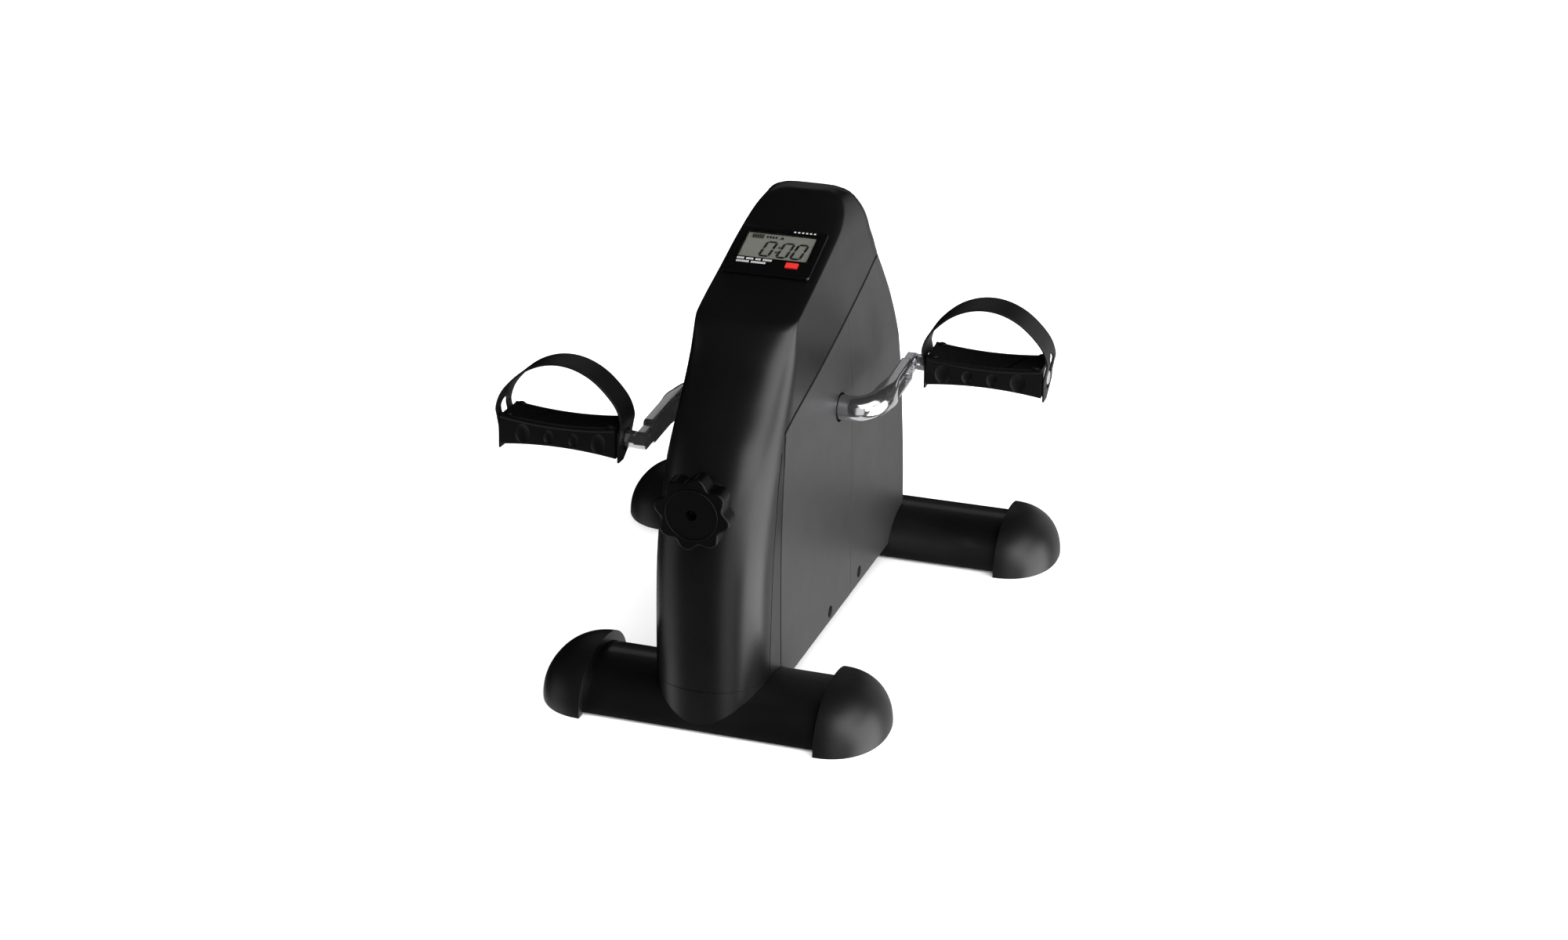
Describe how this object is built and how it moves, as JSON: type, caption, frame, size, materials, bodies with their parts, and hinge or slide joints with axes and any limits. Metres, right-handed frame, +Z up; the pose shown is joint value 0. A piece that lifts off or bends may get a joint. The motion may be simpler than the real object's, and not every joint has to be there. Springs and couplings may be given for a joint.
{
  "type": "pedal exerciser",
  "caption": "Under-desk pedal exerciser: two low feet, wedge casing with counter and tension knob, chrome crank arms and pedals with foot straps.",
  "frame": {"origin": "on the floor, midway between the feet and between the pedals", "axes": "+X along the crank axle to the side of the right pedal, -Y to the seated user, +Z up"},
  "size_m": [0.3528, 0.3932, 0.316],
  "materials": {
    "satin_black": "satin moulded plastic",
    "panel_grey": "satin moulded plastic, dark grey",
    "foot_black": "gloss black powder coat",
    "cap_black": "soft satin plastic",
    "chrome": "bright chrome plate",
    "steel": "zinc plated steel",
    "frame_black": "black paint",
    "knob_black": "satin moulded plastic",
    "pedal_black": "ribbed moulded plastic",
    "strap_black": "flexible moulded strap",
    "cap_grey": "light grey plug",
    "bezel_black": "semi gloss plastic",
    "lcd_green": "grey-green liquid crystal panel",
    "clear_lens": "clear window",
    "button_red": "red rubbery key",
    "board_green": "printed circuit board",
    "battery": "printed cell jacket",
    "felt": "felt faced brake band",
    "magnet": "plated magnet"
  },
  "bodies": {
    "frame": {"front_foot_bar": "foot_black", "front_foot_cap_right": "cap_black", "front_foot_cap_left": "cap_black", "rear_foot_bar": "foot_black", "rear_foot_cap_right": "cap_black", "rear_foot_cap_left": "cap_black", "front_shroud": "satin_black", "front_boot": "satin_black", "side_panel_right": "panel_grey", "rear_shell_right": "panel_grey", "side_panel_left": "panel_grey", "rear_shell_left": "panel_grey", "base_beam": "frame_black", "upright_plate_right": "frame_black", "bearing_right": "steel", "casing_screw_right_front": "steel", "casing_screw_right_rear": "steel", "upright_plate_left": "frame_black", "bearing_left": "steel", "casing_screw_left_front": "steel", "casing_screw_left_rear": "steel", "brake_band": "felt", "band_anchor": "steel", "tension_spring": "steel", "speed_sensor": "bezel_black", "display_bezel": "bezel_black", "display_lens": "clear_lens", "display_lcd": "lcd_green", "display_board": "board_green", "display_battery": "battery"},
    "crankset": {"crank_axle": "steel", "brake_wheel": "frame_black", "speed_magnet": "magnet", "crank_arm_right": "chrome", "pedal_spindle_right": "chrome", "crank_arm_left": "chrome", "pedal_spindle_left": "chrome"},
    "pedal_right": {"pedal_body_right": "pedal_black", "pedal_end_cap_right": "cap_grey", "pedal_strap_right": "strap_black"},
    "pedal_left": {"pedal_body_left": "pedal_black", "pedal_end_cap_left": "cap_grey", "pedal_strap_left": "strap_black"},
    "knob": {"tension_knob": "knob_black", "tension_screw": "steel"},
    "nut": {"tension_nut": "steel"},
    "button": {"reset_button": "button_red"}
  },
  "joints": [
    {"name": "crank_spin", "type": "hinge", "parent": "frame", "child": "crankset", "pos_m": [0, -0.005, 0.1738], "axis": [1, 0, 0], "continuous": true},
    {"name": "pedal_right_spin", "type": "hinge", "parent": "crankset", "child": "pedal_right", "pos_m": [0.13, 0.08796, 0.17659], "axis": [1, 0, 0], "continuous": true},
    {"name": "pedal_left_spin", "type": "hinge", "parent": "crankset", "child": "pedal_left", "pos_m": [-0.13, -0.09796, 0.17101], "axis": [1, 0, 0], "continuous": true},
    {"name": "knob_turn", "type": "hinge", "parent": "frame", "child": "knob", "pos_m": [0, -0.188, 0.1674], "axis": [0, 1, 0], "range_deg": [0, 1080]},
    {"name": "nut_slide", "type": "slide", "parent": "frame", "child": "nut", "axis": [0, -1, 0], "range_m": [0, 0.0038]},
    {"name": "button_press", "type": "slide", "parent": "frame", "child": "button", "axis": [0, 0.3344, -0.9424], "range_m": [0, 0.001], "stiffness_N_per_m": 200}
  ],
  "couplings": [
    {"joint": "nut_slide", "follows": "knob_turn", "m_per_rad": 0.00019894}
  ]
}
